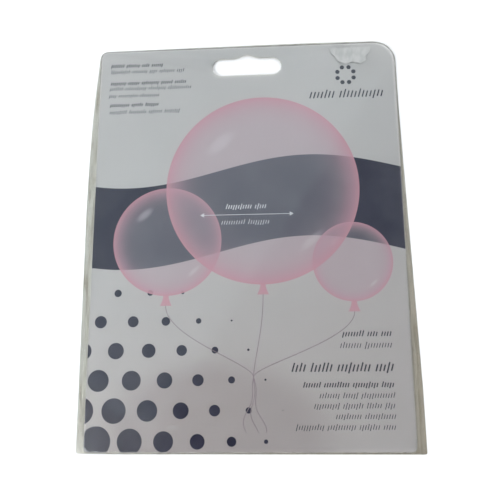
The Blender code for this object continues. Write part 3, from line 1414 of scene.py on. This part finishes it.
@dataclass
class TornLabel:
    """What is left of a paper label on the film: a thin sheet with a ragged, fibrous tear."""

    pouch: Pouch
    finish: PaperFinish = field(default_factory=PaperFinish)
    cells: tuple[int, int] = (110, 52)
    thickness: float = 0.09 * MM
    least: float = 0.015 * MM
    feather: float = 1.1 * MM
    pulp_size: float = 1.3 * MM
    pulp_depth: float = 0.3
    ragged: float = 0.45 * MM
    tears: tuple[Pair, ...] = ((0.7 * MM, 4.0), (2.4 * MM, 2.0))
    edge_cuts: int = 9
    top_share: float = 0.3
    margin: float = 1.0 * MM
    lift: float = 0.02 * MM
    seed: int = 11
    fibres: int = 90
    fibre_length: float = 0.9 * MM
    fibre_radii: Pair = (0.035 * MM, 0.004 * MM)
    fibre_scale: Pair = (0.5, 1.1)
    fibre_fan: float = 0.9
    fibre_lift: float = 0.04 * MM
    whole_top: float = 1.5 * MM
    smooth_angle: float = 50.0
    rim: np.ndarray = field(init=False)

    def outline(self) -> Piece:
        """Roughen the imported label's outline, most along its torn lower edge.

        Returns:
            A flat face of that outline.
        """
        face = flat_face_of("torn_label", "label_cutter", True)
        low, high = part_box("torn_label")
        with editing(face):
            bpy.ops.mesh.dissolve_limited(angle_limit=FLAT_ANGLE)
            bpy.ops.mesh.subdivide(number_cuts=self.edge_cuts)
        for vertex in face.data.vertices:
            x, y, _ = vertex.co
            torn = self.top_share + (1 - self.top_share) * (high.y - y) / (high.y - low.y)
            for axis in (0, 1):
                shift = sum(noise.noise(Vector((x / size, y / size, seed + 9 * axis)))
                            for size, seed in self.tears)
                vertex.co[axis] += self.ragged * torn * shift
        return face

    def height(self, points: np.ndarray) -> np.ndarray:
        """Work out the paper's upper side over the film, thinning to almost nothing at its edge.

        Args:
            points: An array of shape (points, 2).

        Returns:
            The height over each point.
        """
        inner = np.clip(distance_to(self.rim, points) / self.feather, 0, 1)
        pulp = 1 - self.pulp_depth + self.pulp_depth * ripple(points, self.pulp_size, 6.0)
        return self.pouch.front_height(points) + self.lift + self.least + self.thickness * inner * pulp

    def hairs(self) -> list[Piece]:
        """Lay single fibres across the torn edge, thick end inwards.

        Returns:
            The fibres.
        """
        low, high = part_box("torn_label")
        chance = random.Random(self.seed)
        thick, thin = self.fibre_radii
        bpy.ops.mesh.primitive_cone_add(vertices=5, radius1=thick, radius2=thin, depth=self.fibre_length)
        first = settle(bpy.context.object)
        torn = [edge for edge in self.rim if edge[0, 1] < high.y - self.whole_top]
        made = []
        for _ in range(self.fibres):
            start = torn[chance.randrange(len(torn))][0]
            aim = math.atan2(start[1] - high.y, start[0] - (low.x + high.x) / 2)
            aim += chance.uniform(-self.fibre_fan, self.fibre_fan)
            level = self.pouch.front_height(start[None])[0] + self.lift + self.fibre_lift
            turn = Matrix.Rotation(aim - math.pi / 2, 4, "Z") @ Matrix.Rotation(-math.pi / 2, 4, "X")
            size = Matrix.Diagonal((1, 1, chance.uniform(*self.fibre_scale), 1))
            hair = twin_of(first, "fibre")
            hair.data.transform(Matrix.Translation((*start, level)) @ turn @ size)
            made.append(hair)
        bpy.data.objects.remove(first)
        return made

    def build(self) -> Piece:
        """Cut the paper to its ragged outline, give it its relief and lay its fibres.

        Returns:
            The label.
        """
        face = self.outline()
        self.rim = rims(face)[0]
        low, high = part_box("torn_label")
        edge = Vector((self.margin, self.margin, 0.0))
        sheet = cut_slab("label_paper", low - edge, high + edge, self.cells, 0.0, prism(face))
        shape_slab(sheet, self.height, lambda points: self.pouch.front_height(points) + self.lift)
        label = join([sheet, *self.hairs()], "label_paper")
        smooth(label, self.smooth_angle)
        return dress(label, "label_paper", ("torn_label",), self.finish.material())


@dataclass(frozen=True)
class SoftBox:
    """A square of soft light that hangs over the table and faces a point of it."""

    name: str
    place: Triple
    size: Pair
    watts: float
    turn: float = 0.0
    colour: Triple = (1.0, 1.0, 1.0)
    mirrored: bool = True

    def hang(self) -> None:
        """Hang the light, with its panel turned about the line to the packet."""
        lamp = bpy.data.lights.new(self.name, "AREA")
        lamp.shape = "RECTANGLE"
        lamp.size, lamp.size_y = self.size
        lamp.energy = self.watts
        lamp.color = self.colour
        box = link(bpy.data.objects.new(self.name, lamp))
        box.visible_glossy = self.mirrored
        aim = (-Vector(self.place)).to_track_quat("-Z", "Y") if self.turn == 0.0 else Euler((0, 0, self.turn))
        box.matrix_world = Matrix.LocRotScale(Vector(self.place), aim, None)


@dataclass(frozen=True)
class Viewpoint:
    """The camera of the photograph, worked out from the four corners of the card in it."""

    turn: Triple = (-9.75, -2.69, 1.13)
    packet_from_lens: Triple = (-10.94 * MM, 4.92 * MM, -255.72 * MM)
    lens_pixels: float = 500.0
    axis_pixel: Pair = (268.4, 245.6)
    sensor: float = 36.0

    def place(self) -> None:
        """Add the camera and make it the scene's own."""
        camera = bpy.data.cameras.new("camera")
        camera.sensor_width = self.sensor
        camera.lens = self.sensor * self.lens_pixels / PHOTO_SIDE
        camera.shift_x = (PHOTO_SIDE / 2 - self.axis_pixel[0]) / PHOTO_SIDE
        camera.shift_y = (self.axis_pixel[1] - PHOTO_SIDE / 2) / PHOTO_SIDE
        camera.clip_start = 10 * MM
        holder = link(bpy.data.objects.new("camera", camera))
        turn = Euler([math.radians(angle) for angle in self.turn])
        holder.matrix_world = Matrix.LocRotScale(Vector(self.packet_from_lens), turn, None).inverted()
        bpy.context.scene.camera = holder


@dataclass
class Studio:
    """A pale table under soft lights, in a plain pale room."""

    viewpoint: Viewpoint = field(default_factory=Viewpoint)
    table: TableFinish = field(default_factory=TableFinish)
    table_side: float = 6.0
    table_drop: float = 0.02 * MM
    shade_aim: Triple = (-0.13, -0.33, 1.0)
    shades: tuple[tuple[float, Colour], ...] = (
        (0.5, (1.3, 1.3, 1.3, 1.0)), (0.66, (0.28, 0.32, 0.37, 1.0)), (0.8, (0.23, 0.28, 0.32, 1.0)),
        (0.9, (0.22, 0.26, 0.29, 1.0)), (0.955, (0.18, 0.21, 0.22, 1.0)), (0.982, (0.05, 0.06, 0.07, 1.0)),
        (0.994, (0.02, 0.02, 0.03, 1.0)),
    )
    skirting: tuple[tuple[float, Colour], ...] = ((0.42, (0.6, 0.6, 0.6, 1.0)), (0.6, (1.0, 1.0, 1.0, 1.0)))
    boxes: tuple[SoftBox, ...] = (
        SoftBox("window", (-0.36, 0.38, 1.0), (0.8, 1.1), 0.76, math.radians(-33.6), (0.78, 0.95, 1.0)),
        SoftBox("key", (-1.75, -1.35, 1.45), (1.8, 1.8), 77.0, mirrored=False),
        SoftBox("fill", (1.3, 2.2, 1.1), (1.6, 1.6), 26.0, mirrored=False),
    )

    def build(self) -> None:
        """Set the table, the room's light, the soft boxes and the camera."""
        bpy.ops.mesh.primitive_plane_add(size=self.table_side, location=(0, 0, -self.table_drop))
        table = bpy.context.object
        table.name = table.data.name = "table_top"
        table.data.materials.append(self.table.material())
        self.light_room()
        for box in self.boxes:
            box.hang()
        self.viewpoint.place()
        bpy.context.scene.view_settings.view_transform = "Standard"
        bpy.context.scene.cycles.blur_glossy = 0.0

    def light_room(self) -> None:
        """Light the room evenly, but for its low walls and a soft dark patch overhead."""
        world = bpy.data.worlds.new("room")
        bpy.context.scene.world = world
        graph = Graph(world)
        way = graph.node("TexCoord").outputs["Generated"]
        aim = Vector(self.shade_aim).normalized()
        towards = graph.node("VectorMath", way, aim, operation="DOT_PRODUCT").outputs["Value"]
        shade = graph.ramp(towards, self.shades)
        walls = graph.ramp(graph.node("SeparateXYZ", way).outputs["Z"], self.skirting)
        product = graph.node("VectorMath", shade, walls, operation="MULTIPLY").outputs[0]
        graph.feed(graph.tree.nodes["Background"].inputs["Color"], product)


def main() -> None:
    """Build the packet's pieces, then the studio round them."""
    logging.basicConfig(level=logging.INFO, format="%(name)s: %(message)s")
    grey_ink = InkFinish("grey_ink", tone(36, 37, 50), tone(52, 54, 66))
    white_ink = InkFinish("white_ink", tone(206, 206, 210), tone(188, 190, 195))
    string_ink = InkFinish("string_ink", tone(132, 116, 125), tone(152, 140, 147))
    pouch = Pouch(Plan.read())
    pieces = [
        Card().build(),
        SmallPrint("note_rows", NOTE_ROWS, grey_ink, 3).build(),
        SmallPrint("detail_rows", DETAIL_ROWS, grey_ink, 5).build(),
        SmallPrint("name_row", NAME_ROWS, grey_ink, 8).build(),
        Emblem(grey_ink).build(),
        SmallPrint("size_rows", SIZE_ROWS, white_ink, 9).build(),
        SizeArrow(white_ink).build(),
        BalloonStrings(string_ink).build(),
        *pouch.build(),
        TornLabel(pouch).build(),
    ]
    Studio().build()
    LOG.info("%d pieces", len(pieces))


if __name__ == "__main__":
    main()
